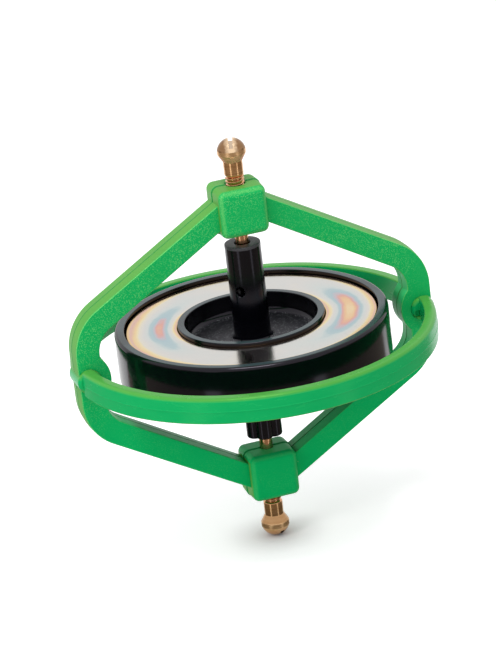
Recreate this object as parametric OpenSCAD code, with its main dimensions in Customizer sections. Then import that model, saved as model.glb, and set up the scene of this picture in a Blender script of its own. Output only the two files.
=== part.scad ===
// Hand gyroscope: a lozenge frame and a snap-in ring guard a weighted rotor,
// which runs on a pointed axle between two slotted brass pivot screws.
// Origin: the centre of the rotor. Z is the spin axis, the frame lies in the XZ plane.

/* [Overall] */
// Height over both ball heads
overall_h = 90; // [80:1:110]
// Outside diameter of the ring
ring_od = 78; // [70:1:96]

/* [Frame] */
// Thickness of the arms from front to back
frame_t = 6; // [5:0.1:7.2]
// Width of an arm where it leaves the block, seen from the front
arm_w = 5.1; // [4.3:0.1:6.1]
// Width of the corner and of the upright that holds the ring
end_w = 5.4; // [4.6:0.1:6.4]
// Height of the point where the outer lines of an arm and an upright meet
knee_z = 11.8; // [10:0.1:14]
// Radius of the outer corner between arm and upright
knee_r = 11.5; // [9.6:0.1:13.5]
// Side of the square pivot block, seen from the front
block_w = 10.7; // [9.6:0.1:12]
// Depth of the pivot block from front to back
block_d = 10; // [8.4:0.1:12]
// Radius of the rounded edges of the pivot block
block_r = 1.5; // [0.8:0.1:1.8]
// Drop from the top of the block to the top of the arm
arm_drop = 3.2; // [2.6:0.1:4]
// Chamfer on the long edges of the frame
edge_c = 0.45; // [0.3:0.05:0.6]
// Slope of the moulded sides, from the parting line to one face
draft = 0.2; // [0.1:0.05:0.3]

/* [Ring] */
// Width of the ring, seen from above
ring_w = 2.8; // [2.4:0.1:3.4]
// Height of the ring
ring_h = 5.5; // [4.6:0.1:6.6]
// Radius of the ring's upper outer edge
ring_edge = 0.85; // [0.6:0.05:1]
// Radius of the ring's other edges
ring_foot = 0.35; // [0.25:0.05:0.6]
// Diameter of the round barrels that snap into the frame
barrel_d = 5.2; // [4.4:0.1:5.6]
// Length of a barrel beyond each face of the frame
barrel_out = 1; // [0.8:0.1:1.4]
// Inset of the barrel's centre from the outside of the ring
barrel_in = 2; // [1.6:0.1:2.2]
// Clearance round a barrel in its seat
seat_clear = 0.05; // [0.03:0.01:0.1]
// Radius of the boss that the seat is cut into
boss_r = 6.4; // [5.8:0.1:7]

/* [Rotor] */
// Gap from the ring to the rim of the rotor
rim_gap = 7.2; // [6:0.1:8.6]
// Height of the rim
rim_h = 10.8; // [9:0.1:13]
// Width of the flat top of the rim
rim_w = 2.1; // [1.8:0.1:2.5]
// Outside diameter of the inner lip
lip_od = 31.2; // [26:0.1:36]
// Width of the inner lip
lip_w = 1.5; // [1.2:0.1:1.8]
// Thickness of the web between lip and hub
web_t = 1.6; // [1.3:0.1:2.4]
// Fillet between lip and web
web_r = 1.5; // [1.2:0.1:1.8]
// Diameter of the hub where it leaves the web
hub_d = 7.8; // [7.2:0.1:9.2]
// Gap from the frame to the upper end of the hub
hub_gap = 2.5; // [2:0.1:3]
// Outside diameter of the pinion
pinion_d = 8.2; // [7.4:0.1:8.8]
// Gap from the frame to the pinion
pinion_gap = 3; // [2.6:0.1:3.8]
// Length of the pinion
pinion_l = 11; // [9:0.1:13]
// Number of lobes on the pinion
pinion_lobes = 6; // [5:1:7]
// Diameter of the hub's open bores
bore_d = 3.4; // [3.4:0.1:4]
// Diameter of the string hole
string_d = 2.2; // [1.8:0.1:2.4]
// Height of the string hole above the middle of the rotor
string_z = 12.2; // [11.5:0.1:13]

/* [Weight ring] */
// Gap round the outside of the weight ring
weight_gap = 0.3; // [0.1:0.05:0.4]
// Depth of the weight ring's face below the rim
weight_sink = 0.8; // [0.6:0.1:1.2]
// Thickness of the rotor's floor below the weight ring
floor_t = 1.6; // [1.3:0.1:2]

/* [Pivots] */
// Diameter of the axle
axle_d = 2; // [1.7:0.1:2.2]
// Diameter of the ball heads
ball_d = 6; // [5:0.1:7]
// Radius of the dome on a ball head, a little over half the ball
dome_extra = 0.1; // [0.05:0.05:0.2]
// Height of the straight band round a ball head
band_h = 1; // [0.8:0.1:1.2]
// Height of the cone below the band
neck_h = 1.6; // [1.3:0.1:2]
// Diameter of the plain shank
shank_d = 4.1; // [3.5:0.1:4.9]
// Outside diameter of the thread
thread_d = 4; // [3.4:0.1:4.6]
// Length of thread that shows between shank and block
thread_show = 2; // [1.4:0.1:2.6]
// Height of a ball head's end above the block
head_reach = 9.8; // [9.4:0.1:11.4]
// Clearance round the thread in its block
thread_clear = 0.05; // [0.02:0.01:0.1]
// Diameter of the nose that reaches into the hub
nose_d = 2.8; // [2.4:0.1:2.8]
// Length of the nose inside the hub
nose_in = 2.4; // [2:0.1:3]
// Depth of the cup in the end of the nose
cup_depth = 0.9; // [0.75:0.05:1]
// End play between axle point and cup
end_play = 0.06; // [0.03:0.01:0.1]
// Width of the screwdriver slots
slot_w = 0.9; // [0.7:0.05:1.1]
// Depth of the screwdriver slots
slot_depth = 1.5; // [1.2:0.1:1.7]

/* [Rest angles] */
// Direction of the slot in the upper screw, in degrees from X
top_slot_turn = 74; // [0:1:180]
// Direction of the slot in the lower screw, in degrees from X
bottom_slot_turn = 107; // [0:1:180]
// Direction that the string hole faces, in degrees from X
string_turn = 230; // [0:1:360]
// Direction of the first lobe of the pinion, in degrees from X
pinion_turn = 254; // [0:1:360]

/* [Hidden] */
$fn = 96;
cut = 1;
top_z = overall_h / 2;
block_top = top_z - head_reach;
block_z = block_top - block_w / 2;
block_low = block_top - block_w;

span = ring_od / 2 + 0.3;
arm_x = block_w / 2;
arm_top = block_top - arm_drop;
arm_angle = atan((arm_top - knee_z) / (span - arm_x));
knee_turn = 90 - arm_angle;
knee_t = knee_r * tan(knee_turn / 2);
knee_x = span - knee_r;
knee_low = knee_z - knee_t;
arm_reach = (span - arm_x) / cos(arm_angle) - knee_t;
arm_taper = atan((end_w - arm_w) / arm_reach);
arm_root = 3;
arm_lap = 0.5;
corner_step = 0.03;
upright_lap = 0.001;

ring_r = ring_od / 2;
ring_in = ring_r - ring_w;
ring_draft = 0.15;
barrel_x = ring_r - barrel_in;
barrel_l = frame_t + 2 * barrel_out;
barrel_c = 0.5;
shoulder_gap = 0.3;
seat_d = barrel_d + 2 * seat_clear;
boss_x = span - 0.7;
notch_h = 4.8;
notch_depth = 0.9;
pocket_w = 1.1;
pocket_h = 1.6;
pocket_depth = 0.6;

rim_r = ring_in - rim_gap;
rim_edge = 0.8;
channel_r = rim_r - rim_w;
half_h = rim_h / 2;
lip_r = lip_od / 2;
lip_in = lip_r - lip_w;
lip_edge = 0.2;
weight_fit = 0.05;
weight_low = floor_t - half_h;
weight_top = half_h - weight_sink;
weight_c = 0.25;
hub_top = block_low - hub_gap;
hub_tip_d = hub_d - 0.2;
hub_flare = 1.1;
pinion_low = pinion_gap - block_low;
pinion_c = 0.6;
lobe_r = pinion_d * 0.225;
lobe_x = pinion_d / 2 - lobe_r;
pocket_z = string_z - string_d;
axle_fit = 0.01;

dome_r = ball_d / 2 + dome_extra;
dome_z = top_z - dome_r;
band_top = dome_z + sqrt(pow(dome_r, 2) - pow(ball_d / 2, 2));
band_low = band_top - band_h;
neck_low = band_low - neck_h;
shank_low = block_top + thread_show;
thread_low = block_low + 1.8;
nose_tip = hub_top - nose_in;
nose_clear = 0.1;
axle_tip = nose_tip + cup_depth - end_play;
axle_point = axle_d / 2 / tan(30);

green = [0.05, 0.66, 0.31];
black = [0.05, 0.05, 0.06];
plated = [0.80, 0.79, 0.76];
steel = [0.62, 0.63, 0.65];
brass = [0.80, 0.60, 0.33];

// Points along an arc from angle a0 to a1
function arc(x, z, r, a0, a1, steps = 6) =
  [for (i = [0:steps]) let (a = a0 + (a1 - a0) * i / steps) [x + r * cos(a), z + r * sin(a)]];

// Copies of a quarter of the frame in all four quarters
module four_ways() {
  for (side = [0, 1], up = [0, 1]) mirror([side, 0, 0]) mirror([0, 0, up]) children();
}

module left_and_right() {
  for (turn = [0, 180]) rotate([0, 0, turn]) children();
}

module rounded_square(w, h, r) {
  square([w - 2 * r, h], center = true);
  square([w, h - 2 * r], center = true);
  for (x = [-1, 1], y = [-1, 1]) translate([x * (w / 2 - r), y * (h / 2 - r)]) circle(r = r);
}

// Box with all edges rounded, centred on the origin
module rounded_box(w, d, h, r) {
  intersection() {
    linear_extrude(h, center = true) rounded_square(w, d, r);
    rotate([90, 0, 0]) linear_extrude(d, center = true) rounded_square(w, h, r);
    rotate([90, 0, 90]) linear_extrude(w, center = true) rounded_square(d, h, r);
  }
}

// Half of a bar's section: the parting line at y = 0, drafted sides, chamfered edges
function bar_side(x) = [
  [x - draft - edge_c, -frame_t / 2], [x - draft, edge_c - frame_t / 2], [x, 0],
  [x - draft, frame_t / 2 - edge_c], [x - draft - edge_c, frame_t / 2]];

module bar_section(w) {
  polygon(concat(bar_side(w / 2), [for (i = [4:-1:0]) [-bar_side(w / 2)[i][0], bar_side(w / 2)[i][1]]]));
}

// Arm that widens from the block to the corner: the outer and inner lines each bound one bar
module arm() {
  whole = arm_reach + arm_root + arm_lap;
  translate([arm_x, 0, arm_top])
    rotate([0, 90 + arm_angle, 0])
      intersection() {
        translate([arm_w, 0, -arm_root]) linear_extrude(whole) bar_section(2 * arm_w);
        translate([arm_w, 0, 0])
          rotate([0, arm_taper, 0])
            translate([-arm_w, 0, -arm_root - cut]) linear_extrude(whole + 2 * cut) bar_section(2 * arm_w);
      }
}

// Rounded corner between arm and upright, a hair wider than both
module knee() {
  translate([knee_x, 0, knee_low])
    rotate([90, 0, 0])
      rotate_extrude(angle = knee_turn)
        translate([knee_r - end_w / 2, 0]) bar_section(end_w + 2 * corner_step);
}

// Upright half from the corner down to the middle
module upright() {
  translate([span - end_w / 2, 0, 0]) linear_extrude(knee_low + upright_lap) bar_section(end_w);
}

// Round boss that thickens the upright where the ring's barrel sits
module seat_boss() {
  side = [[0, -frame_t / 2], [boss_r - edge_c, -frame_t / 2], [boss_r, edge_c - frame_t / 2],
    [boss_r, frame_t / 2 - edge_c], [boss_r - edge_c, frame_t / 2], [0, frame_t / 2]];
  intersection() {
    translate([boss_x, 0, 0]) rotate([90, 0, 0]) rotate_extrude() polygon(side);
    translate([0, -frame_t, -boss_r]) cube([span - draft - edge_c, 2 * frame_t, 2 * boss_r]);
  }
}

// Seat for the barrel, open to the outside through a notch with sloping lips
module seat_cut() {
  translate([barrel_x, 0, 0]) rotate([90, 0, 0]) cylinder(d = seat_d, h = frame_t + cut, center = true);
  rotate([90, 0, 0])
    linear_extrude(frame_t + cut, center = true)
      polygon([[span + cut, notch_h / 2 + cut], [span - notch_depth, 0], [span + cut, -notch_h / 2 - cut]]);
}

// Block with the tapped hole and, at its inner face, a smaller hole for the nose
module pivot_block() {
  translate([0, 0, block_z]) rounded_box(block_w, block_d, block_w, block_r);
}

module pivot_cut() {
  translate([0, 0, thread_low - thread_clear]) cylinder(d = thread_d + 2 * thread_clear, h = block_w);
  translate([0, 0, block_low - cut]) cylinder(d = nose_d + 2 * nose_clear, h = block_w / 2);
}

// Frame, moulded in one piece
module frame() {
  color(green)
    difference() {
      union() {
        four_ways() {
          arm();
          knee();
          upright();
        }
        left_and_right() seat_boss();
        for (up = [0, 1]) mirror([0, 0, up]) pivot_block();
      }
      left_and_right() seat_cut();
      for (up = [0, 1]) mirror([0, 0, up]) pivot_cut();
    }
}

// Section of the ring: drafted from a parting line at mid height, with rounded edges
module ring_section() {
  top = ring_h / 2;
  outer = ring_r - ring_draft;
  inner = ring_in + ring_draft + ring_foot;
  polygon(concat([[ring_r, 0]],
    arc(outer - ring_edge, top - ring_edge, ring_edge, 0, 90, 4),
    arc(inner, top - ring_foot, ring_foot, 90, 180, 2),
    [[ring_in, 0]],
    arc(inner, ring_foot - top, ring_foot, 180, 270, 2),
    arc(outer - ring_foot, ring_foot - top, ring_foot, 270, 360, 2)));
}

// Plain barrel that replaces the ring's section inside the frame
module barrel() {
  r = barrel_d / 2;
  side = [[0, -barrel_l / 2], [r - barrel_c, -barrel_l / 2], [r, barrel_c - barrel_l / 2],
    [r, barrel_l / 2 - barrel_c], [r - barrel_c, barrel_l / 2], [0, barrel_l / 2]];
  difference() {
    translate([barrel_x, 0, 0]) rotate([90, 0, 0]) rotate_extrude() polygon(side);
    translate([barrel_x - r + pocket_w / 2, -barrel_l / 2 - cut, -pocket_h])
      cube([pocket_w, pocket_depth + cut, pocket_h]);
  }
}

// Guard ring, moulded in one piece and snapped into the frame
module ring() {
  gap = frame_t + 2 * shoulder_gap;
  color(green) {
    difference() {
      rotate_extrude() ring_section();
      cube([2 * ring_od, gap, 2 * ring_h], center = true);
    }
    left_and_right() barrel();
  }
}

// Rim, channel for the weight ring, inner lip and web, in one turned outline
module wheel_body() {
  rim = concat(
    arc(rim_r - rim_edge, rim_edge - half_h, rim_edge, -90, 0, 4),
    arc(rim_r - rim_edge, half_h - rim_edge, rim_edge, 0, 90, 4));
  channel = [[channel_r, half_h], [channel_r, weight_low], [lip_r, weight_low], [lip_r, half_h - lip_edge]];
  lip = [[lip_r - lip_edge, half_h], [lip_in, half_h]];
  upper = arc(lip_in - web_r, web_t / 2 + web_r, web_r, 0, -90, 4);
  lower = arc(lip_in - web_r, -web_t / 2 - web_r, web_r, 90, 0, 4);
  rotate_extrude()
    polygon(concat(rim, channel, lip, upper, [[0, web_t / 2], [0, -web_t / 2]], lower, [[lip_in, -half_h]]));
}

// Flared foot where the hub meets the web
module hub_flare() {
  r = hub_d / 2;
  rotate_extrude()
    polygon(concat([[0, 0], [r + hub_flare, 0]], arc(r + hub_flare, web_t / 2 + hub_flare, hub_flare, -90, -180, 4),
      [[0, web_t / 2 + hub_flare]]));
}

// Lobed pinion that a starter rack drives
module pinion() {
  intersection() {
    translate([0, 0, pinion_low])
      linear_extrude(pinion_l) {
        circle(r = lobe_x);
        for (i = [0:pinion_lobes - 1])
          rotate(pinion_turn + i * 360 / pinion_lobes) translate([lobe_x, 0]) circle(r = lobe_r);
      }
    union() {
      translate([0, 0, pinion_low]) cylinder(d1 = pinion_d - 2 * pinion_c, d2 = pinion_d, h = pinion_c);
      translate([0, 0, pinion_low + pinion_c]) cylinder(d = pinion_d, h = pinion_l);
    }
  }
}

// Rotor moulding: rim, web and hub with pinion
module rotor_wheel() {
  pinion_top = pinion_low + pinion_l;
  color(black)
    difference() {
      union() {
        wheel_body();
        cylinder(d1 = hub_d, d2 = hub_tip_d, h = hub_top);
        translate([0, 0, pinion_top]) cylinder(d = hub_d, h = -pinion_top);
        for (up = [0, 1]) mirror([0, 0, up]) hub_flare();
        pinion();
      }
      translate([0, 0, pocket_z]) cylinder(d = bore_d, h = hub_top);
      translate([0, 0, -pocket_z - hub_top]) cylinder(d = bore_d, h = hub_top);
      cylinder(d = axle_d + 2 * axle_fit, h = overall_h, center = true);
      rotate(string_turn) translate([0, 0, string_z]) rotate([0, 90, 0]) cylinder(d = string_d, h = hub_d);
    }
}

// Plated steel ring that gives the rotor its weight
module weight_ring() {
  outer = channel_r - weight_gap;
  inner = lip_r + weight_fit;
  color(plated)
    rotate_extrude()
      polygon([[inner + weight_c, weight_low], [outer - weight_c, weight_low], [outer, weight_low + weight_c],
        [outer, weight_top - weight_c], [outer - weight_c, weight_top], [inner + weight_c, weight_top],
        [inner, weight_top - weight_c], [inner, weight_low + weight_c]]);
}

// Steel axle with a 60 degree point at each end
module axle() {
  r = axle_d / 2;
  straight = axle_tip - axle_point;
  color(steel)
    rotate_extrude()
      polygon([[0, -axle_tip], [r, -straight], [r, straight], [0, axle_tip]]);
}

// Pivot screw: slotted ball head, shank, thread and cupped nose
module pivot_screw(slot_turn) {
  color(brass)
    difference() {
      union() {
        intersection() {
          translate([0, 0, dome_z]) sphere(r = dome_r);
          translate([0, 0, band_low]) cylinder(d = ball_d, h = ball_d);
        }
        translate([0, 0, neck_low]) cylinder(d1 = shank_d, d2 = ball_d, h = neck_h);
        translate([0, 0, shank_low]) cylinder(d = shank_d, h = neck_low - shank_low);
        translate([0, 0, thread_low]) cylinder(d = thread_d, h = shank_low - thread_low);
        translate([0, 0, nose_tip]) cylinder(d = nose_d, h = thread_low - nose_tip);
      }
      rotate(slot_turn)
        translate([0, 0, top_z - slot_depth + ball_d / 2]) cube([2 * ball_d, slot_w, ball_d], center = true);
      translate([0, 0, nose_tip]) cylinder(r1 = cup_depth, r2 = 0, h = cup_depth);
    }
}

module top_screw() {
  pivot_screw(top_slot_turn);
}

module bottom_screw() {
  rotate([180, 0, 0]) pivot_screw(-bottom_slot_turn);
}

frame();
ring();
rotor_wheel();
weight_ring();
axle();
top_screw();
bottom_screw();
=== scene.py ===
import math
import bmesh
import bpy
from mathutils import Matrix, Vector


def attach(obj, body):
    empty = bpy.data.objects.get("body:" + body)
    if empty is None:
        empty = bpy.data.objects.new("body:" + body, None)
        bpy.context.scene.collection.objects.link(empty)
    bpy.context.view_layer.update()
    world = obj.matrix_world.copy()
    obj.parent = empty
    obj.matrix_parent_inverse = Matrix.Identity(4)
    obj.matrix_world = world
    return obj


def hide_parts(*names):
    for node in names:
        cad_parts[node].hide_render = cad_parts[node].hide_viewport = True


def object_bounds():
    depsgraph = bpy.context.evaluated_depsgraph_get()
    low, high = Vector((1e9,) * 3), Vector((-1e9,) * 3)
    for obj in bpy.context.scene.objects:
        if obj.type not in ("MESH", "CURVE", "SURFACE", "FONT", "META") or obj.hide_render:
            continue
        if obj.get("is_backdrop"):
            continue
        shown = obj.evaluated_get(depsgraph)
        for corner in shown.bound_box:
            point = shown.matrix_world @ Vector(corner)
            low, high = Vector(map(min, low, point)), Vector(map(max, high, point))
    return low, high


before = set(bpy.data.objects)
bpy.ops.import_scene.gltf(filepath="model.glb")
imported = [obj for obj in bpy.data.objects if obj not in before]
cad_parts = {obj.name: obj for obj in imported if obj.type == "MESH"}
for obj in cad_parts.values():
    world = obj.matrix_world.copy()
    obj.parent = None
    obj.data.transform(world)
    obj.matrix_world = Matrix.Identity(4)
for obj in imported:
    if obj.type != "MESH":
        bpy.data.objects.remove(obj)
cad_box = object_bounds()
scene = bpy.context.scene
scene.view_settings.view_transform = "Standard"


# ---- Frame -----------------------------------------------------------------
# The lozenge is one moulding of bright green plastic: four arms and two uprights round a
# pair of square pivot blocks. Its faces keep the spark-eroded grain of the mould, its edges
# are smooth, and a parting line runs round the middle of its depth.
mm = 0.001
face_y = 3.0
span = 39.3
block_half = 5.35
block_deep = 5.0
block_middle = 29.85
block_round = 1.5
arm_top = 32.0
arm_depth = 5.1
upright_depth = 5.4
arm_root = 3.0
knee_z = 11.8
knee_r = 11.5
boss_x = 38.6
boss_r = 6.4
barrel_x = 37.0
seat_r = 2.65
notch_deep = 0.9
notch_half = 3.4
screw_hole_r = 2.05
screw_hole_low = 26.25
nose_hole_r = 1.5
countersink_r = 2.4
countersink_deep = 0.4
through = 8
draft = 0.14
edge_round = 0.26
groove_half = 0.2
groove_deep = 0.15
block_groove = 0.26
half_step = 0.07
slope = math.atan((arm_top - knee_z) / (span - block_half))
knee_turn = math.pi / 2 - slope
knee_reach = knee_r * math.tan(knee_turn / 2)
knee_low = knee_z - knee_reach
arm_length = (span - block_half) / math.cos(slope) - knee_reach


def closed_loop(bm, points):
    verts = [bm.verts.new(Vector(p) * mm) for p in points]
    return [bm.edges.new((verts[i - 1], verts[i])) for i in range(len(verts))]


def spots(items, kind):
    return [item for item in items if isinstance(item, kind)]


def tidy_up(bm, gap=1e-7):
    bmesh.ops.remove_doubles(bm, verts=bm.verts[:], dist=gap)
    bmesh.ops.recalc_face_normals(bm, faces=bm.faces[:])
    return bm


def block_of(sizes, centre):
    bm = bmesh.new()
    stretch = Matrix.Diagonal((*[size * mm for size in sizes], 1))
    bmesh.ops.create_cube(bm, size=1, matrix=Matrix.Translation(Vector(centre) * mm) @ stretch)
    return bm


def rod(radius, length, centre, along, end_radius=None, segments=64):
    bm = bmesh.new()
    turn = Vector((0, 0, 1)).rotation_difference(Vector(along)).to_matrix().to_4x4()
    end_radius = radius if end_radius is None else end_radius
    bmesh.ops.create_cone(bm, cap_ends=True, segments=segments, radius1=radius * mm,
                          radius2=end_radius * mm, depth=length * mm,
                          matrix=Matrix.Translation(Vector(centre) * mm) @ turn)
    return bm


def round_edges(bm, edges, radius, segments=3):
    bmesh.ops.bevel(bm, geom=edges, offset=radius * mm, offset_type="OFFSET", segments=segments,
                    profile=0.5, affect="EDGES", clamp_overlap=True, material=-1)


def sharp_edges(bm, degrees=40):
    limit = math.radians(degrees)
    return [e for e in bm.edges if len(e.link_faces) == 2 and e.calc_face_angle() > limit]


def as_object(bm, name):
    mesh = bpy.data.meshes.new(name)
    bm.to_mesh(mesh)
    bm.free()
    piece = bpy.data.objects.new(name, mesh)
    scene.collection.objects.link(piece)
    return piece


def combine(bm, tools, operation):
    base = as_object(bm, "base")
    extra = [as_object(tool, "tool") for tool in tools]
    for tool in extra:
        step = base.modifiers.new("step", "BOOLEAN")
        step.object = tool
        step.operation = operation
        step.solver = "EXACT"
    result = bmesh.new()
    result.from_object(base, bpy.context.evaluated_depsgraph_get())
    for item in [base, *extra]:
        mesh = item.data
        bpy.data.objects.remove(item)
        bpy.data.meshes.remove(mesh)
    bmesh.ops.remove_doubles(result, verts=result.verts[:], dist=2e-7)
    bmesh.ops.dissolve_degenerate(result, edges=result.edges[:], dist=1e-7)
    return result


def finish_piece(bm, name, body, material, replaced, smooth_to=32):
    piece = as_object(bm, name)
    piece.data.shade_smooth()
    piece.data.set_sharp_from_angle(angle=math.radians(smooth_to))
    weighted = piece.modifiers.new("weighted", "WEIGHTED_NORMAL")
    weighted.keep_sharp = True
    piece.data.materials.append(material)
    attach(piece, body)
    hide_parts(replaced)
    return piece


def side_outline(width):
    # one side of the bar from front to back: rounded edge, draft and the parting groove
    corner = Vector((draft + edge_round, edge_round - face_y))
    points = []
    for i in range(4):
        a = math.radians(90 * i / 3)
        points.append((corner.x - edge_round * math.sin(a), corner.y - edge_round * math.cos(a)))
    points.append((0.0, -groove_half))
    outer = points + [(groove_deep, 0.0)] + [(u, -y) for u, y in reversed(points)]
    return outer + [(width - u, y) for u, y in reversed(outer)]


def drawn_on(bm, loop, move, steps=1):
    for _ in range(steps):
        grown = bmesh.ops.extrude_edge_only(bm, edges=loop)["geom"]
        bmesh.ops.translate(bm, verts=spots(grown, bmesh.types.BMVert),
                            vec=Vector(move) * mm / steps)
        loop = spots(grown, bmesh.types.BMEdge)
        ends = set(spots(grown, bmesh.types.BMVert))
        loop = [e for e in loop if e.verts[0] in ends and e.verts[1] in ends]
    return loop


bars = bmesh.new()
loop = closed_loop(bars, [(span - u, y, 0) for u, y in side_outline(upright_depth)])
loop = drawn_on(bars, loop, (0, 0, knee_low), steps=3)
knee_centre = Vector((span - knee_r, 0, knee_low))
turned = bmesh.ops.spin(bars, geom=loop, cent=knee_centre * mm, axis=(0, -1, 0), angle=knee_turn,
                        steps=18, use_merge=False, use_duplicate=False)["geom_last"]
loop = spots(turned, bmesh.types.BMEdge)
along = Vector((-math.cos(slope), 0, math.sin(slope)))
into = Vector((-math.sin(slope), 0, -math.cos(slope)))
corner = knee_centre - into * knee_r
loop = drawn_on(bars, loop, along * (arm_length + arm_root))
for v in {v for e in loop for v in e.verts}:
    depth = (v.co / mm - corner).dot(into)
    v.co += into * depth * (arm_depth / upright_depth - 1) * mm
bmesh.ops.contextual_create(bars, geom=loop)
bmesh.ops.mirror(bars, geom=bars.verts[:] + bars.edges[:] + bars.faces[:], axis="Z",
                 merge_dist=1e-6)
tidy_up(bars)


def sliced(bm, place, way, cut_off=False):
    bmesh.ops.bisect_plane(bm, geom=bm.verts[:] + bm.edges[:] + bm.faces[:], dist=1e-7,
                           plane_co=place, plane_no=way, clear_outer=cut_off)


def grooved(bm, axis_x, axis_z, half, deep):
    # cuts the parting groove into a piece, all round its middle
    for y in (-half, 0, half):
        sliced(bm, (0, y * mm, 0), (0, 1, 0))
    centre = Vector((axis_x, 0, axis_z)) * mm
    for v in bm.verts:
        if abs(v.co.y) < 1e-6:
            away = v.co - centre
            v.co = centre + away * (1 - deep * mm / away.length)
    return tidy_up(bm)


def upright_boss():
    bm = rod(boss_r, 2 * face_y - 0.05, (boss_x, 0, 0), (0, 1, 0), segments=96)
    sliced(bm, Vector((span - notch_deep, 0, 0)) * mm, (1, 0, 0), cut_off=True)
    bmesh.ops.holes_fill(bm, edges=[e for e in bm.edges if e.is_boundary], sides=0)
    tidy_up(bm)
    near_face = (face_y - 0.1) * mm
    round_edges(bm, [e for e in sharp_edges(bm) if all(abs(v.co.y) > near_face for v in e.verts)],
                edge_round)
    return grooved(bm, boss_x, 0, groove_half, groove_deep)


def pivot_block():
    bm = block_of((2 * block_half, 2 * block_deep, 2 * block_half), (0, 0, block_middle))
    round_edges(bm, bm.edges[:], block_round, segments=6)
    grooved(bm, 0, block_middle, block_groove, block_groove)
    for v in bm.verts:
        narrower = 1 - draft / block_half * abs(v.co.y) / (block_deep * mm)
        if abs(v.co.y) > 1e-6:
            narrower += math.copysign(half_step, v.co.y) / block_half
        v.co.x *= narrower
        v.co.z = block_middle * mm + (v.co.z - block_middle * mm) * narrower
    return tidy_up(bm)


def flipped(bm, signs):
    bmesh.ops.scale(bm, verts=bm.verts[:], vec=signs)
    bmesh.ops.recalc_face_normals(bm, faces=bm.faces[:])
    return bm


def prism(points, push):
    bm = bmesh.new()
    closed_loop(bm, points)
    bmesh.ops.contextual_create(bm, geom=bm.edges[:])
    grown = bmesh.ops.extrude_face_region(bm, geom=bm.faces[:])["geom"]
    bmesh.ops.translate(bm, verts=spots(grown, bmesh.types.BMVert), vec=Vector(push) * mm)
    return tidy_up(bm)


def notch():
    back = -through / 2
    corners = [(span + 1, back, notch_half), (span - notch_deep, back, 0), (span + 1, back, -notch_half)]
    return prism(corners, (0, through, 0))


other_side = bars.copy()
flipped(other_side, (-1, 1, 1))
lozenge = combine(bars, [other_side, upright_boss(), flipped(upright_boss(), (-1, 1, 1)),
                         pivot_block(), flipped(pivot_block(), (1, 1, -1))], "UNION")
both = (-1, 1)
block_end = block_middle + block_half
holes = [rod(seat_r, through, (side * barrel_x, 0, 0), (0, 1, 0), segments=72) for side in both]
holes += [notch(), flipped(notch(), (-1, 1, 1))]
holes += [rod(screw_hole_r, 10, (0, 0, z * (screw_hole_low + 5)), (0, 0, 1)) for z in both]
holes += [rod(nose_hole_r, 4, (0, 0, z * 25), (0, 0, 1)) for z in both]
holes += [rod(screw_hole_r, countersink_deep, (0, 0, z * (block_end - 0.1)), (0, 0, z),
              end_radius=countersink_r) for z in both]
lozenge = combine(lozenge, holes, "DIFFERENCE")


def node(tree, kind, inputs=None, **settings):
    made = tree.nodes.new(kind)
    for key, value in settings.items():
        setattr(made, key, value)
    for key, value in (inputs or {}).items():
        if isinstance(value, bpy.types.NodeSocket):
            tree.links.new(value, made.inputs[key])
        else:
            made.inputs[key].default_value = value
    return made


def maths(tree, operation, a, b=0.0, c=0.0, clamp=False):
    made = node(tree, "ShaderNodeMath", {0: a, 1: b, 2: c}, operation=operation, use_clamp=clamp)
    return made.outputs[0]


def times(tree, a, b, clamp=False):
    return maths(tree, "MULTIPLY", a, b, clamp=clamp)


def times_plus(tree, a, b, c, clamp=False):
    return maths(tree, "MULTIPLY_ADD", a, b, c, clamp)


def above(tree, value, limit):
    return maths(tree, "GREATER_THAN", value, limit)


def below(tree, value, limit):
    return maths(tree, "LESS_THAN", value, limit)


def vectors(tree, operation, a, b=(0, 0, 0), out=0):
    return node(tree, "ShaderNodeVectorMath", {0: a, 1: b}, operation=operation).outputs[out]


def axes(tree, vector):
    return node(tree, "ShaderNodeSeparateXYZ", {0: vector}).outputs


def noise(tree, vector, scale, detail=2.0, rough=0.5):
    return node(tree, "ShaderNodeTexNoise", {"Vector": vector, "Scale": scale, "Detail": detail,
                                             "Roughness": rough}).outputs["Fac"]


def ramp(tree, value, stops, blend="LINEAR"):
    made = node(tree, "ShaderNodeValToRGB", {"Fac": value})
    made.color_ramp.interpolation = blend
    bands = made.color_ramp.elements
    while len(bands) < len(stops):
        bands.new(0.5)
    for band, (place, colour) in zip(bands, stops):
        band.position = place
        band.color = (*colour, 1) if isinstance(colour, tuple) else (colour, colour, colour, 1)
    return made.outputs["Color"]


def mixed(tree, amount, a, b):
    made = node(tree, "ShaderNodeMix", data_type="RGBA")
    for key, value in ((0, amount), (6, a), (7, b)):
        if isinstance(value, bpy.types.NodeSocket):
            tree.links.new(value, made.inputs[key])
        else:
            made.inputs[key].default_value = (*value, 1) if isinstance(value, tuple) else value
    return made.outputs[2]


def effect(name, inputs, outputs):
    # inputs give each number's usual value, and None marks a vector
    group = bpy.data.node_groups.new(name, "ShaderNodeTree")
    for socket, usual in inputs.items():
        kind = "NodeSocketVector" if usual is None else "NodeSocketFloat"
        made = group.interface.new_socket(socket, in_out="INPUT", socket_type=kind)
        if usual is not None:
            made.default_value = usual
    for socket in outputs:
        group.interface.new_socket(socket, in_out="OUTPUT", socket_type="NodeSocketFloat")
    return group, group.nodes.new("NodeGroupInput").outputs, group.nodes.new("NodeGroupOutput")


def placed(tree, group, inputs):
    made = node(tree, "ShaderNodeGroup", node_tree=group)
    for key, value in inputs.items():
        if isinstance(value, bpy.types.NodeSocket):
            tree.links.new(value, made.inputs[key])
        else:
            made.inputs[key].default_value = value
    return made.outputs


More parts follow.
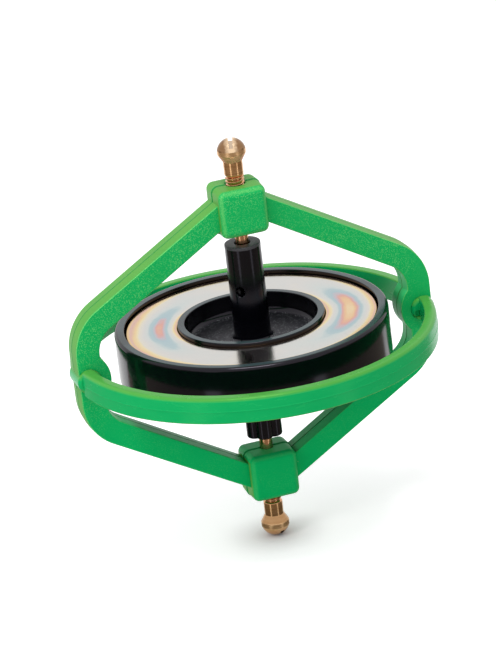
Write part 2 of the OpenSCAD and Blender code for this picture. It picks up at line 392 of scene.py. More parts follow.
def new_material(name, **constants):
    material = bpy.data.materials.new(name)
    material.use_nodes = True
    tree = material.node_tree
    shader = tree.nodes["Principled BSDF"]
    for key, value in constants.items():
        shader.inputs[key.replace("_", " ")].default_value = value
    where = node(tree, "ShaderNodeTexCoord").outputs["Object"]
    in_mm = node(tree, "ShaderNodeMapping", {"Vector": where, "Scale": (1000, 1000, 1000)}).outputs[0]
    return material, tree, shader, in_mm


def relief_on(tree, shader, height, strength, deep):
    bump = node(tree, "ShaderNodeBump", {"Height": height, "Strength": strength, "Distance": deep * mm})
    tree.links.new(bump.outputs[0], shader.inputs["Normal"])


# spark-eroded grain: fine pits as a height, and a mask of scattered pits that the materials paint
# lighter, as painted sparkle highlights
grain, g_in, g_out = effect("spark grain", {"Vector": None, "Size": 0.3, "Share": 0.38},
                            ["Height", "Glints"])
per_mm = maths(grain, "DIVIDE", 1.0, g_in["Size"])
cells = node(grain, "ShaderNodeTexVoronoi", {"Vector": g_in["Vector"], "Scale": per_mm},
             feature="F1")
soft = noise(grain, g_in["Vector"], times(grain, per_mm, 0.7), 2.0, 0.6)
pits = times(grain, cells.outputs["Distance"], 0.7)
grain.links.new(maths(grain, "ADD", pits, soft), g_out.inputs["Height"])
chance = node(grain, "ShaderNodeSeparateColor", {"Color": cells.outputs["Color"]}).outputs[0]
picked = below(grain, chance, g_in["Share"])
ragged = noise(grain, g_in["Vector"], times(grain, per_mm, 2.2))
uneven = times_plus(grain, ragged, 1.4, cells.outputs["Distance"])
core = below(grain, uneven, 1.12)
grain.links.new(times(grain, picked, core), g_out.inputs["Glints"])

# short hairline scratches, each at its own angle in its own cell
scuffs, s_in, s_out = effect("scuffs", {"Vector": None, "Cell": 4.0, "Length": 1.2, "Width": 0.05,
                                        "Share": 0.5}, ["Mask"])
marks = []
for turn in (0.0, 1.9):
    flat = node(scuffs, "ShaderNodeMapping", {
        "Vector": s_in["Vector"], "Location": (3.1 * turn, 5.0 * turn, 7.7 * turn),
        "Rotation": (0.2 * turn, 0.9 * turn, 0)}).outputs[0]
    per_cell = maths(scuffs, "DIVIDE", 1.0, s_in["Cell"])
    found = node(scuffs, "ShaderNodeTexVoronoi", {"Vector": flat, "Scale": per_cell})
    away = vectors(scuffs, "SUBTRACT", flat, found.outputs["Position"])
    dice = node(scuffs, "ShaderNodeSeparateColor", {"Color": found.outputs["Color"]}).outputs
    angle = times(scuffs, dice[0], math.tau)
    run = node(scuffs, "ShaderNodeCombineXYZ", {
        0: maths(scuffs, "COSINE", angle), 1: maths(scuffs, "SINE", angle),
        2: maths(scuffs, "SINE", times(scuffs, angle, 2.3))})
    run = vectors(scuffs, "NORMALIZE", run.outputs[0])
    on_line = vectors(scuffs, "DOT_PRODUCT", away, run, out=1)
    off_line = vectors(scuffs, "CROSS_PRODUCT", away, run)
    off_line = vectors(scuffs, "LENGTH", off_line, out=1)
    thin = below(scuffs, off_line, s_in["Width"])
    short = below(scuffs, maths(scuffs, "ABSOLUTE", on_line), s_in["Length"])
    kept = below(scuffs, dice[1], s_in["Share"])
    marks.append(times(scuffs, times(scuffs, thin, short), kept))
scuffs.links.new(maths(scuffs, "MAXIMUM", marks[0], marks[1]), s_out.inputs["Mask"])

green_plastic, tree, shader, in_mm = new_material("grained green plastic",
                                                  Specular_Tint=(0.15, 1.0, 0.3, 1),
                                                  Specular_IOR_Level=0.2)
normal = node(tree, "ShaderNodeTexCoord").outputs["Normal"]
facing = maths(tree, "ABSOLUTE", axes(tree, normal)[1])
on_face = ramp(tree, facing, [(0.80, 0.0), (0.98, 1.0)])
on_side = ramp(tree, facing, [(0.12, 1.0), (0.50, 0.0)])
on_edge = ramp(tree, facing, [(0.45, 0.0), (0.62, 1.0), (0.80, 1.0), (0.95, 0.0)])
flat_place = vectors(tree, "MULTIPLY", in_mm, (1, 0, 1))
outward = above(tree, vectors(tree, "DOT_PRODUCT", flat_place, normal, out=1), 0.0)
place = axes(tree, in_mm)
# upper is 0 low on the frame and 1 high on it: high up the faces get a warmer painted light and denser
# painted sparkle highlights
upper = ramp(tree, times_plus(tree, place[2], 0.011, 0.5), [(0.30, 0.0), (0.62, 1.0)])
off_block = above(tree, maths(tree, "ABSOLUTE", place[0]), block_half + 0.3)
groove_shade = below(tree, maths(tree, "ABSOLUTE", place[1]), 0.22)
fine = placed(tree, grain, {"Vector": in_mm, "Size": 0.21, "Share": 0.5})
scratched = placed(tree, scuffs, {"Vector": in_mm, "Cell": 3.6, "Length": 0.7, "Width": 0.045,
                                  "Share": 0.16})["Mask"]
cloud = noise(tree, in_mm, 0.14, 3.0)
painted_glint_patches = times(tree, ramp(tree, cloud, [(0.36, 0.2), (0.60, 1.0)]),
                times_plus(tree, upper, 0.85, 0.15))
face_green = mixed(tree, upper, (0.0, 0.385, 0.104), (0.010, 0.385, 0.094))
face_green = mixed(tree, times(tree, cloud, 0.4), face_green, (0.004, 0.44, 0.110))
# the outward sides get an olive painted sheen of warm light, the inward sides a brighter green that is
# painted light against their shade
painted_sheen_side_green = mixed(tree, cloud, (0.070, 0.31, 0.045), (0.110, 0.36, 0.055))
skin_with_painted_light = mixed(tree, times(tree, on_side, 0.7), face_green, (0.010, 0.50, 0.130))
skin_with_painted_light = mixed(tree, times(tree, on_side, outward), skin_with_painted_light, painted_sheen_side_green)
# painted sparkle highlights: light green specks where grain pits stand in for caught light, mostly on
# the faces
painted_glints = times(tree, fine["Glints"], times_plus(tree, on_side, -0.95, 1.0))
painted_glints = times(tree, painted_glints, painted_glint_patches)
with_painted_glints = mixed(tree, times(tree, painted_glints, 0.55), skin_with_painted_light, (0.20, 0.68, 0.20))
# painted edge highlight: a light line along the rounded edges, broken by the grain, weaker on the block
# and low down
painted_edge_highlight = times(tree, on_edge, times_plus(tree, fine["Height"], 1.8, -0.8, clamp=True))
painted_edge_highlight = times(tree, painted_edge_highlight, times_plus(tree, off_block, 0.35, 0.2))
painted_edge_highlight = times(tree, painted_edge_highlight, times_plus(tree, upper, 0.7, 0.3))
edge_highlight_green = mixed(tree, painted_edge_highlight, with_painted_glints, (0.40, 0.78, 0.20))
worn = times(tree, scratched, times_plus(tree, on_face, 0.32, 0.08))
shaded = mixed(tree, worn, edge_highlight_green, (0.30, 0.72, 0.26))
# the parting groove is darkened as painted shade
tree.links.new(mixed(tree, times(tree, groove_shade, 0.62), shaded, (0.004, 0.12, 0.03)),
               shader.inputs["Base Color"])
matt = times_plus(tree, on_face, 0.12, 0.42)
tree.links.new(times_plus(tree, painted_glints, -0.28, matt), shader.inputs["Roughness"])
rough = times(tree, fine["Height"], times_plus(tree, on_side, -0.7, 1.0))
relief_on(tree, shader, times_plus(tree, worn, -0.5, rough), 0.6, 0.03)
finish_piece(lozenge, "frame_moulding", "frame", green_plastic, "frame")


# ---- Guard ring ------------------------------------------------------------
# The ring is a second moulding in the same green, with a polished surface and a fine parting
# line at mid height. Two round barrels snap into the seats of the frame.
ring_out = 39.0
ring_in = 36.2
ring_half = 2.75
ring_draft = 0.15
joint_half = 3.3
end_round = 1.7
barrel_r = 2.6
barrel_half = 4.0
gate_size = (1.1, 1.2, 1.6)


def spun(points, steps=192, rounding=None):
    bm = bmesh.new()
    verts = [bm.verts.new(Vector((r, 0, z)) * mm) for r, z in points]
    open_ended = points[0][0] == 0 and points[-1][0] == 0
    first = 1 if open_ended else 0
    edges = [bm.edges.new((verts[i - 1], verts[i])) for i in range(first, len(verts))]
    bmesh.ops.spin(bm, geom=verts + edges, cent=(0, 0, 0), axis=(0, 0, 1), angle=math.tau,
                   steps=steps, use_merge=True)
    tidy_up(bm, 1e-6)
    for (r, z), radius in (rounding or {}).items():
        hoop = [e for e in bm.edges if all(abs(math.hypot(v.co.x, v.co.y) - r * mm) < 1e-6
                                           and abs(v.co.z - z * mm) < 1e-6 for v in e.verts)]
        round_edges(bm, hoop, radius, segments=6)
    return tidy_up(bm)


brim_out = ring_out - ring_draft
brim_in = ring_in + ring_draft
ring_outline = [(brim_out, ring_half), (ring_out - 0.09, 0.2), (ring_out - 0.03, 0.1),
                (ring_out, 0.0), (ring_out - 0.03, -0.1), (ring_out - 0.09, -0.2),
                (brim_out, -ring_half), (brim_in, -ring_half), (ring_in, 0.0), (brim_in, ring_half)]
hoop = spun(ring_outline, steps=256, rounding={
    (brim_out, ring_half): 0.85, (brim_out, -ring_half): 0.35,
    (brim_in, -ring_half): 0.35, (brim_in, ring_half): 0.35})


def end_cut(side, way):
    # rounds the outer corner of one of the four ring ends, so the barrel stands out of it
    wide = math.sqrt(ring_out ** 2 - joint_half ** 2)
    arc = [(wide - end_round * (1 - math.sin(a)), joint_half + end_round * (1 - math.cos(a)))
           for a in [math.radians(15 * i) for i in range(7)]]
    outline = arc + [(wide + 1, joint_half + end_round), (wide + 1, joint_half - 1),
                     (wide - end_round, joint_half - 1)]
    bm = prism([(x, y, -through / 2) for x, y in outline], (0, 0, through))
    return flipped(bm, (side, way, 1))


gaps = [block_of((20, 2 * joint_half, through), (side * 38, 0, 0)) for side in both]
hoop = combine(hoop, gaps + [end_cut(side, way) for side in both for way in both], "DIFFERENCE")


def barrel(side):
    bm = rod(barrel_r, 2 * barrel_half, (side * barrel_x, 0, 0), (0, 1, 0), segments=72)
    round_edges(bm, sharp_edges(bm), 0.8, segments=5)
    return bm


hoop = combine(hoop, [barrel(1), barrel(-1)], "UNION")
gate_x = barrel_x - barrel_r + 1.1
gates = [block_of(gate_size, (side * gate_x, -side * barrel_half, -0.8)) for side in both]
hoop = combine(hoop, gates, "DIFFERENCE")

ring_plastic, tree, shader, in_mm = new_material("polished green plastic",
                                                 Specular_Tint=(0.4, 1.0, 0.3, 1),
                                                 Specular_IOR_Level=0.32)
# the ring's top and bottom faces get a yellowish painted sheen of warm light; its walls keep the plain
# green
upward = axes(tree, node(tree, "ShaderNodeTexCoord").outputs["Normal"])[2]
upward = ramp(tree, maths(tree, "ABSOLUTE", upward), [(0.12, 0.0), (0.70, 1.0)])
off_seam = maths(tree, "ABSOLUTE", axes(tree, in_mm)[2])
upward = times(tree, upward, above(tree, off_seam, 0.9))
squeezed = node(tree, "ShaderNodeMapping", {"Vector": in_mm, "Scale": (1, 1, 3)}).outputs[0]
flow = noise(tree, squeezed, 0.16, 4.0, 0.6)
scratched = placed(tree, scuffs, {"Vector": in_mm, "Cell": 4.0, "Length": 1.1, "Width": 0.035,
                                  "Share": 0.3})["Mask"]
wall_green = mixed(tree, flow, (0.0, 0.340, 0.096), (0.004, 0.395, 0.108))
painted_brim_sheen = mixed(tree, flow, (0.055, 0.32, 0.050), (0.090, 0.36, 0.058))
skin_with_painted_light = mixed(tree, upward, wall_green, painted_brim_sheen)
tree.links.new(mixed(tree, times(tree, scratched, 0.22), skin_with_painted_light, (0.2, 0.65, 0.2)),
               shader.inputs["Base Color"])
shine = ramp(tree, flow, [(0.3, 0.20), (0.7, 0.30)])
tree.links.new(times_plus(tree, scratched, 0.12, shine), shader.inputs["Roughness"])
fine = placed(tree, grain, {"Vector": in_mm, "Size": 0.35})
relief = times_plus(tree, fine["Height"], 0.16, times(tree, flow, 1.5))
relief_on(tree, shader, relief, 0.3, 0.03)
finish_piece(hoop, "guard_ring", "frame", ring_plastic, "ring")


# ---- Rotor moulding --------------------------------------------------------
# One polished black moulding: rim, channel for the steel ring, inner lip, thin web and a hub
# whose lower end is a lobed pinion. A hole for the pull cord goes through the hub's wall.
rim_r = 29.0
rim_half = 5.4
channel_r = 26.9
lip_r = 15.6
lip_in = 14.1
web_half = 0.8
hub_r = 3.9
hub_tip_r = 3.8
hub_top = 22.0
hub_flare = 1.1
pinion_r = 4.1
pinion_low = -21.5
pinion_length = 11.0
lobes = 6
root_gap = 0.9
bore_r = 1.7
pocket_z = 10.0
channel_low = -3.8
string_z = 12.2
string_r = 1.1
string_turn = math.radians(230)
pinion_turn = math.radians(254)
axle_r = 1.0
pinion_end = 21.35
pinion_top = pinion_low + pinion_length - 0.6
rotor_outline = [
    (axle_r, pocket_z), (bore_r, pocket_z), (bore_r, hub_top), (hub_tip_r, hub_top),
    (hub_r, web_half), (lip_in, web_half), (lip_in, rim_half), (lip_r, rim_half),
    (lip_r, channel_low), (channel_r, channel_low), (channel_r, rim_half), (rim_r, rim_half),
    (rim_r, -rim_half), (lip_in, -rim_half), (lip_in, -web_half), (hub_r, -web_half),
    (hub_r, pinion_top), (pinion_r - root_gap, pinion_top), (pinion_r - root_gap, pinion_low + 0.4),
    (bore_r, pinion_low + 0.4), (bore_r, -pocket_z), (axle_r, -pocket_z)]
wheel = spun(rotor_outline, steps=192, rounding={
    (bore_r, hub_top): 0.2, (hub_tip_r, hub_top): 0.18, (hub_r, web_half): hub_flare,
    (lip_in, web_half): 1.5, (lip_in, rim_half): 0.18, (lip_r, rim_half): 0.25,
    (channel_r, rim_half): 0.15, (rim_r, rim_half): 0.8, (rim_r, -rim_half): 0.8,
    (lip_in, -rim_half): 0.2, (lip_in, -web_half): 1.5, (hub_r, -web_half): hub_flare})


def pinion():
    lobe_r = pinion_r * 0.45
    lobe_x = pinion_r - lobe_r
    middle = pinion_low + pinion_length / 2
    bm = rod(lobe_x, pinion_length, (0, 0, middle), (0, 0, 1), segments=48)
    tools = []
    for i in range(lobes):
        a = pinion_turn + i * math.tau / lobes
        lobe = rod(lobe_r, pinion_length - 0.02, (lobe_x * math.cos(a), lobe_x * math.sin(a), middle),
                   (0, 0, 1), segments=40)
        round_edges(lobe, sharp_edges(lobe), 0.5, segments=4)
        tools.append(lobe)
    bm = combine(bm, tools, "UNION")
    return combine(bm, [rod(bore_r, 14, (0, 0, pinion_low + 5), (0, 0, 1))], "DIFFERENCE")


string_way = Vector((math.cos(string_turn), math.sin(string_turn), 0))
string_level = Vector((0, 0, string_z))
string_hole = rod(string_r, 4, string_way * 2.2 + string_level, string_way, segments=48)
mouth = rod(1.0, 0.5, string_way * 3.86 + string_level, string_way, end_radius=1.5, segments=48)
wheel = combine(wheel, [pinion()], "UNION")
wheel = combine(wheel, [string_hole, mouth], "DIFFERENCE")


def from_axis(tree, parts):
    flat = node(tree, "ShaderNodeCombineXYZ", {0: parts[0], 1: parts[1]}).outputs[0]
    return vectors(tree, "LENGTH", flat, out=1)


black_plastic, tree, shader, in_mm = new_material("polished black plastic",
                                                  Specular_Tint=(0.92, 0.85, 1.0, 1),
                                                  Specular_IOR_Level=0.32)
parts = axes(tree, in_mm)
radius = from_axis(tree, parts)
in_recess = times(tree, below(tree, maths(tree, "ABSOLUTE", parts[2]), web_half + 0.25),
                  below(tree, radius, lip_in - 0.6))
on_end = above(tree, maths(tree, "ABSOLUTE", parts[2]), pinion_end)
satin = maths(tree, "MAXIMUM", in_recess, on_end)
flow = noise(tree, in_mm, 0.25, 4.0, 0.65)
scratched = placed(tree, scuffs, {"Vector": in_mm, "Cell": 4.0, "Length": 1.2, "Width": 0.035,
                                  "Share": 0.35})["Mask"]
fine = placed(tree, grain, {"Vector": in_mm, "Size": 0.28, "Share": 0.25})
# the flats of rim and lip get a lighter slate painted sheen, and the satin ends of hub and pinion a grey
# painted sheen
on_flat = above(tree, maths(tree, "ABSOLUTE", parts[2]), rim_half - 0.02)
on_flat = times(tree, on_flat, above(tree, radius, lip_in - 1))
tone = mixed(tree, on_flat, (0.0010, 0.0012, 0.0022), (0.034, 0.056, 0.060))
tone = mixed(tree, in_recess, tone, (0.010, 0.011, 0.014))
tone = mixed(tree, on_end, tone, (0.050, 0.050, 0.054))
# painted sparkle highlights: light grey specks on the satin recess
painted_glints = times(tree, fine["Glints"], times(tree, in_recess, 0.34))
tone = mixed(tree, painted_glints, tone, (0.45, 0.46, 0.48))
tree.links.new(mixed(tree, times(tree, scratched, 0.25), tone, (0.04, 0.04, 0.045)),
               shader.inputs["Base Color"])
shine = ramp(tree, flow, [(0.3, 0.11), (0.75, 0.19)])
shine = times_plus(tree, satin, 0.26, shine)
tree.links.new(times_plus(tree, scratched, 0.15, shine), shader.inputs["Roughness"])
relief = times(tree, fine["Height"], times_plus(tree, satin, 0.8, 0.06))
relief = maths(tree, "ADD", relief, times(tree, flow, 1.4))
relief_on(tree, shader, relief, 0.3, 0.03)
finish_piece(wheel, "rotor_moulding", "rotor", black_plastic, "rotor_wheel")


# ---- Weight ring -----------------------------------------------------------
# A heavy steel ring pressed over the inner lip. Its clear plating is thinnest at the edges and
# shows pale yellow, pink and blue bands, and its face still has faint turning marks.
weight_in = 15.65
weight_out = 26.6
weight_top = 4.6
weight_low = -3.8
film_turn = math.radians(-18)
weight_round = 0.25
weight_corners = [(weight_in, weight_low), (weight_out, weight_low), (weight_out, weight_top),
                  (weight_in, weight_top)]
weight = spun(weight_corners, steps=192,
              rounding={corner: weight_round for corner in weight_corners})

# turning marks: fine rings round the spin axis, as a height
turning, t_in, t_out = effect("turning marks", {"Vector": None, "Pitch": 0.2, "Along": 0.0}, ["Height"])
parts = axes(turning, t_in["Vector"])
travel = maths(turning, "ADD", from_axis(turning, parts), times(turning, parts[2], t_in["Along"]))
in_pitches = maths(turning, "DIVIDE", travel, t_in["Pitch"])
turns = node(turning, "ShaderNodeTexNoise", {"W": in_pitches, "Scale": 1.0, "Detail": 3.0,
                                             "Roughness": 0.7}, noise_dimensions="1D")
turning.links.new(turns.outputs["Fac"], t_out.inputs["Height"])

steel_plated, tree, shader, in_mm = new_material("plated steel", Metallic=1.0)
parts = axes(tree, in_mm)
radius = from_axis(tree, parts)
sideways = times_plus(tree, parts[0], math.cos(film_turn),
                      times(tree, parts[1], math.sin(film_turn)))
sideways = maths(tree, "DIVIDE", sideways, radius)
lobe = maths(tree, "POWER", times(tree, sideways, sideways), 2.0)
inset = maths(tree, "DIVIDE", maths(tree, "SUBTRACT", weight_out, radius), weight_out - weight_in,
              clamp=True)
hump = times(tree, inset, maths(tree, "SUBTRACT", 1.0, inset))
lean_in = times(tree, hump, sideways)
inset = times_plus(tree, lean_in, 0.28, inset)
build = ramp(tree, inset, [
    (0.0, 0.0), (0.06, 0.10), (0.18, 0.27), (0.36, 0.66), (0.50, 0.93), (0.58, 1.0), (0.66, 0.95),
    (0.76, 0.72), (0.88, 0.32), (0.95, 0.12), (1.0, 0.0)], "CARDINAL")
drift = noise(tree, in_mm, 0.10, 2.0, 0.4)
ripple = noise(tree, in_mm, 0.6, 3.0)
steep = times(tree, build, 3.5, clamp=True)
thin_film = times(tree, times(tree, steep, 0.42), maths(tree, "SUBTRACT", 1.0, lobe))
thick_film = times(tree, times(tree, build, lobe), times_plus(tree, sideways, 0.07, 0.91))
sway = maths(tree, "ADD", times_plus(tree, drift, 0.34, -0.17),
             times_plus(tree, ripple, 0.06, -0.03))
film = maths(tree, "ADD", maths(tree, "ADD", thin_film, thick_film), times(tree, sway, steep))
# at both edges the film runs out into brown, partly staining and partly a painted reflection of the
# rounded edge
bands = ramp(tree, film, [
    (0.00, (0.56, 0.36, 0.15)), (0.03, (0.74, 0.50, 0.22)), (0.07, (0.66, 0.44, 0.36)),
    (0.11, (0.68, 0.42, 0.34)), (0.16, (0.78, 0.56, 0.28)), (0.24, (0.78, 0.66, 0.40)),
    (0.32, (0.70, 0.65, 0.55)), (0.42, (0.64, 0.62, 0.59)), (0.56, (0.58, 0.62, 0.60)),
    (0.64, (0.42, 0.53, 0.55)), (0.74, (0.38, 0.50, 0.54)), (0.80, (0.52, 0.44, 0.48)),
    (0.86, (0.68, 0.34, 0.29)), (0.93, (0.76, 0.47, 0.25)), (1.00, (0.78, 0.58, 0.33))])
tree.links.new(bands, shader.inputs["Base Color"])
marks = placed(tree, turning, {"Vector": in_mm, "Pitch": 0.18, "Along": 0.0})["Height"]
fine = placed(tree, grain, {"Vector": in_mm, "Size": 0.2})["Height"]
tree.links.new(times_plus(tree, ripple, 0.08, 0.09), shader.inputs["Roughness"])
relief_on(tree, shader, times_plus(tree, fine, 0.35, marks), 0.14, 0.02)
finish_piece(weight, "weight_ring_plated", "rotor", steel_plated, "weight_ring")


# ---- Axle ------------------------------------------------------------------
# A ground steel pin pressed through the hub, with a hard point at each end. Only the points
# can be seen, deep in the hub's bores, so the CAD solid stays and gets its ground finish.
ground_steel, tree, shader, in_mm = new_material("ground steel", Metallic=1.0)
marks = placed(tree, turning, {"Vector": in_mm, "Pitch": 0.12, "Along": 1.0})["Height"]
tree.links.new(ramp(tree, marks, [(0.3, (0.42, 0.42, 0.43)), (0.7, (0.60, 0.60, 0.61))]),
               shader.inputs["Base Color"])
tree.links.new(times_plus(tree, marks, 0.2, 0.2), shader.inputs["Roughness"])
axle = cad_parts["axle"]
axle.data.materials.clear()
axle.data.materials.append(ground_steel)


# ---- Pivot screws ----------------------------------------------------------
# Two turned brass screws with slotted ball heads hold the rotor between their cupped noses. The
# ball has a straight band and a cone below it, and the thread runs from the shank into the block.
dome_r = 3.1
ball_r = 3.0
ball_top = 45.0
band_top = ball_top - dome_r + math.sqrt(dome_r ** 2 - ball_r ** 2)
band_low = band_top - 1.0
neck_low = band_low - 1.6
shank_r = 2.05
shank_low = 37.2
crest_r = 2.0
root_r = 1.66
pitch = 0.7
thread_low = 26.3
nose_r = 1.4
nose_tip = 19.6
cup = 0.9
slot_width = 0.9
slot_depth = 1.5
top_slot_turn = math.radians(74)
bottom_slot_turn = math.radians(107)


def screw_blank():
    dome = [(dome_r * math.sin(math.radians(a)), ball_top - dome_r + dome_r * math.cos(math.radians(a)))
            for a in (0, 8, 16, 24, 32, 40, 48, 56, 64, 70)]
    outline = dome + [(ball_r, band_top), (ball_r, band_low), (shank_r, neck_low),
                      (shank_r, shank_low), (root_r, shank_low - 0.35), (root_r, thread_low),
                      (nose_r, thread_low - 0.3), (nose_r, nose_tip), (cup, nose_tip),
                      (0, nose_tip + cup)]
    return spun(outline, steps=96, rounding={(ball_r, band_low): 0.12, (shank_r, shank_low): 0.1,
                                             (nose_r, nose_tip): 0.12})


def thread():
    # a small tooth wound up the core
    turns_made = int((shank_low - 0.15 - thread_low) / pitch) - 1
    steps = 40
    bm = bmesh.new()
    low = thread_low + 0.35
    tooth = [(root_r - 0.12, low), (crest_r - 0.02, low + 0.29), (crest_r, low + 0.35),
             (crest_r - 0.02, low + 0.41), (root_r - 0.12, low + pitch)]
    verts = [bm.verts.new(Vector((r, 0, z)) * mm) for r, z in tooth]
    edges = [bm.edges.new((verts[i - 1], verts[i])) for i in range(len(verts))]
    face = bmesh.ops.contextual_create(bm, geom=edges)["faces"]
    bmesh.ops.spin(bm, geom=verts + edges + face, cent=(0, 0, 0), axis=(0, 0, 1),
                   dvec=(0, 0, pitch * mm / steps), angle=math.tau * turns_made,
                   steps=steps * turns_made, use_merge=False, use_duplicate=False)
    return tidy_up(bm)


def pivot_screw(slot_turn):
    bm = combine(screw_blank(), [thread()], "UNION")
    cutter = block_of((through, slot_width, 3), (0, 0, ball_top - slot_depth + 1.5))
    bmesh.ops.rotate(cutter, verts=cutter.verts[:], cent=(0, 0, 0),
                     matrix=Matrix.Rotation(slot_turn, 3, "Z"))
    return combine(bm, [cutter], "DIFFERENCE")


turned_brass, tree, shader, in_mm = new_material("turned brass", Metallic=1.0)
marks = placed(tree, turning, {"Vector": in_mm, "Pitch": 0.30, "Along": 1.0})["Height"]
stain = noise(tree, in_mm, 0.6, 4.0, 0.65)
mottle = noise(tree, in_mm, 1.6, 4.0, 0.7)
place = axes(tree, in_mm)
height = place[2]
along = maths(tree, "ABSOLUTE", height)


def off_slot(turn):
    sideways = times_plus(tree, place[0], -math.sin(turn), times(tree, place[1], math.cos(turn)))
    return maths(tree, "ABSOLUTE", sideways)


# where the band, the two cones, the cut thread and the upper dome are
is_upper = above(tree, height, 0.0)
band = times(tree, above(tree, along, band_low - 0.1), below(tree, along, band_top - 0.02))
cone = times(tree, above(tree, height, neck_low), below(tree, height, band_low - 0.1))
low_cone = times(tree, below(tree, height, -neck_low), above(tree, height, 0.1 - band_low))
cut = below(tree, along, shank_low + 0.05)
dome = times(tree, is_upper, above(tree, along, band_top))
# the slots are dark inside, partly oxide and partly painted shade; the upper ball has a pale painted
# highlight beside its slot and painted dark reflections at its flanks
slot_reach = slot_width / 2 + 0.02
upper_slot = times(tree, below(tree, off_slot(top_slot_turn), slot_reach),
                   times(tree, is_upper, 0.36))
lower_slot = times(tree, below(tree, off_slot(bottom_slot_turn), slot_reach),
                   times_plus(tree, is_upper, -0.85, 0.85))
in_slot = times(tree, maths(tree, "ADD", upper_slot, lower_slot),
                above(tree, along, ball_top - slot_depth - 0.02))
painted_reflection_flank = maths(tree, "DIVIDE", off_slot(top_slot_turn), dome_r)
painted_reflection_flank = ramp(tree, times_plus(tree, mottle, 0.5, painted_reflection_flank), [(0.42, 0.0), (0.72, 1.0)])
painted_dome_light = mixed(tree, painted_reflection_flank, (0.97, 0.72, 0.48), (0.24, 0.13, 0.065))
brass_tone = ramp(tree, stain, [(0.35, (0.66, 0.37, 0.17)), (0.65, (0.84, 0.53, 0.28))])
lines = ramp(tree, marks, [(0.42, 1.0), (0.56, 0.0)])
# in this list the lower cone's dark brown is painted shade, and the dome takes its painted light
for mask, share, colour in (
        (lines, 0.5, (0.44, 0.22, 0.09)), (band, 0.5, (0.90, 0.60, 0.33)),
        (low_cone, 0.7, (0.36, 0.20, 0.09)), (cut, 0.6, (0.72, 0.37, 0.22)),
        (cone, 0.85, (0.95, 0.50, 0.38)), (dome, 0.86, painted_dome_light),
        (in_slot, 1.0, (0.10, 0.05, 0.02))):
    brass_tone = mixed(tree, times(tree, mask, share), brass_tone, colour)
tree.links.new(brass_tone, shader.inputs["Base Color"])
dull = times_plus(tree, band, 0.2, times_plus(tree, stain, 0.12, 0.10))
dull = times_plus(tree, cone, 0.42, dull)
dull = times_plus(tree, in_slot, 0.35, dull)
tree.links.new(dull, shader.inputs["Roughness"])
relief_on(tree, shader, marks, 0.25, 0.02)
upper = pivot_screw(top_slot_turn)
lower = pivot_screw(-bottom_slot_turn)
bmesh.ops.rotate(lower, verts=lower.verts[:], cent=(0, 0, 0),
                 matrix=Matrix.Rotation(math.pi, 3, "X"))
finish_piece(upper, "top_pivot_screw", "top_screw", turned_brass, "top_screw",
             smooth_to=13)
finish_piece(lower, "bottom_pivot_screw", "bottom_screw", turned_brass,
             "bottom_screw", smooth_to=13)


# ---- Floor -----------------------------------------------------------------
# A plain white sweep under the gyroscope. It stays white to the camera and in reflections and keeps the
# soft shadow, and near the foot a painted contact shadow darkens its colour and glow.
floor_z = -0.045
sweep = bmesh.new()
bmesh.ops.create_grid(sweep, x_segments=1, y_segments=1, size=3,
                      matrix=Matrix.Translation((0, 0, floor_z)))
floor = as_object(sweep, "floor")


def seen_rays(tree):
    ray = node(tree, "ShaderNodeLightPath").outputs
    mirrored = maths(tree, "MAXIMUM", ray["Is Glossy Ray"], ray["Is Transmission Ray"])
    return ray["Is Camera Ray"], maths(tree, "MAXIMUM", ray["Is Camera Ray"], mirrored)


paper = bpy.data.materials.new("white paper")
paper.use_nodes = True
tree = paper.node_tree
shader = tree.nodes["Principled BSDF"]
shader.inputs["Roughness"].default_value = 0.9
shader.inputs["Specular IOR Level"].default_value = 0.0
shader.inputs["Emission Color"].default_value = (1, 1, 1, 1)
direct, seen = seen_rays(tree)
# painted contact shadow: an occlusion factor that darkens colour and glow near the foot
painted_contact_shadow = node(tree, "ShaderNodeAmbientOcclusion", {"Distance": 0.012}, samples=8,
                only_local=False).outputs["AO"]
painted_contact_shadow = maths(tree, "POWER", painted_contact_shadow, 2.0)
lift = times_plus(tree, direct, 0.10, times(tree, seen, 0.35))
tree.links.new(times(tree, lift, painted_contact_shadow), shader.inputs["Emission Strength"])
tree.links.new(mixed(tree, painted_contact_shadow, (0.55, 0.55, 0.56), (0.86, 0.86, 0.86)),
               shader.inputs["Base Color"])
floor.data.materials.append(paper)
floor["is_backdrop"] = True


# ---- Light -----------------------------------------------------------------
# A white world with two softboxes, a small one above the front and one at the left. Brown cards on
# the floor and far off at the sides give the gloss and the brass something dark to reflect.
world = bpy.data.worlds.new("white studio")
scene.world = world
world.use_nodes = True
tree = world.node_tree
tree.nodes["Background"].inputs["Strength"].default_value = 1.0
tree.links.new(mixed(tree, seen_rays(tree)[1], (0.75, 0.75, 0.76), (1.0, 1.0, 1.0)),
               tree.nodes["Background"].inputs["Color"])


def softbox(name, place, size, power):
    lamp = bpy.data.lights.new(name, "AREA")
    lamp.shape = "RECTANGLE"
    lamp.size, lamp.size_y = size
    lamp.energy = power
    holder = bpy.data.objects.new(name, lamp)
    scene.collection.objects.link(holder)
    holder.location = place
    holder.rotation_euler = (-Vector(place)).to_track_quat("-Z", "Y").to_euler()
    return holder


softbox("softbox above", (-0.06, -0.15, 0.52), (0.22, 0.14), 1.2)
softbox("softbox left", (-0.5, -0.2, 0.28), (0.2, 0.3), 1.1).visible_glossy = False

card_brown = bpy.data.materials.new("card brown")
card_brown.use_nodes = True
card_shader = card_brown.node_tree.nodes["Principled BSDF"]
card_shader.inputs["Base Color"].default_value = (0.27, 0.23, 0.19, 1)
card_shader.inputs["Specular IOR Level"].default_value = 0.0
card_far = 0.95
card_z = -0.0449
camera_way = -105.5


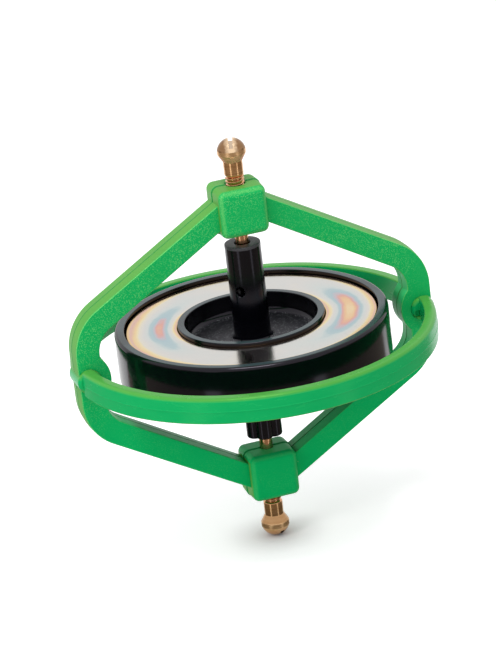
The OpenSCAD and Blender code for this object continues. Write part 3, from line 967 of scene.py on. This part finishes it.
def dark_card(name, start, end, near, tall):
    # a card between two directions from the camera's side: flat on the floor, then standing up
    bm = bmesh.new()
    profile = ((near, 0, card_z), (card_far, 0, card_z), (card_far, 0, tall))
    verts = [bm.verts.new(p) for p in profile]
    edges = [bm.edges.new(verts[i:i + 2]) for i in (0, 1)]
    bmesh.ops.rotate(bm, verts=verts, cent=(0, 0, 0),
                     matrix=Matrix.Rotation(math.radians(start + camera_way), 3, "Z"))
    bmesh.ops.spin(bm, geom=verts + edges, cent=(0, 0, 0), axis=(0, 0, 1),
                   angle=math.radians(end - start), steps=12)
    card = as_object(bm, name)
    card.data.materials.append(card_brown)
    card.visible_camera = card.visible_diffuse = False
    card.visible_transmission = card.visible_shadow = False
    card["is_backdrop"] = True


for name, start, end in (("middle card", -29, 42), ("left card", -125, -41), ("right card", 52, 125)):
    dark_card(name, start, end, near=0.006, tall=0.0)
for name, start, end in (("left wall", -108, -54), ("right wall", 58, 108)):
    dark_card(name, start, end, near=0.9, tall=0.15)


# ---- Camera ----------------------------------------------------------------
# A long lens looks slightly down, from a little left of the frame's plane, and leans so that the
# gyroscope leans to the left as in the photograph.
px_per_m = 4746
distance = 0.8
rise = math.radians(21.12)
around = math.radians(-15.5)
lean = math.radians(6.8)
frame_size = (496, 664)
origin_at = (253.7, 339.6)
lens = bpy.data.cameras.new("camera")
lens.sensor_fit = "AUTO"
lens.sensor_width = 36
lens.lens = px_per_m * distance * 36 / frame_size[1]
camera = bpy.data.objects.new("camera", lens)
scene.collection.objects.link(camera)
backward = Vector((math.sin(around) * math.cos(rise), -math.cos(around) * math.cos(rise),
                   math.sin(rise)))
level = Vector((math.cos(around), math.sin(around), 0))
upward = backward.cross(level)
right = level * math.cos(lean) - upward * math.sin(lean)
top = level * math.sin(lean) + upward * math.cos(lean)
shift = right * (frame_size[0] / 2 - origin_at[0]) / px_per_m
shift += top * (origin_at[1] - frame_size[1] / 2) / px_per_m
placing = Matrix((right, top, backward)).transposed().to_4x4()
placing.translation = backward * distance + shift
camera.matrix_world = placing
scene.camera = camera

boxes = {"cad": cad_box, "visual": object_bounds()}
boxes = {name: [list(map(float, corner)) for corner in box] for name, box in boxes.items()}
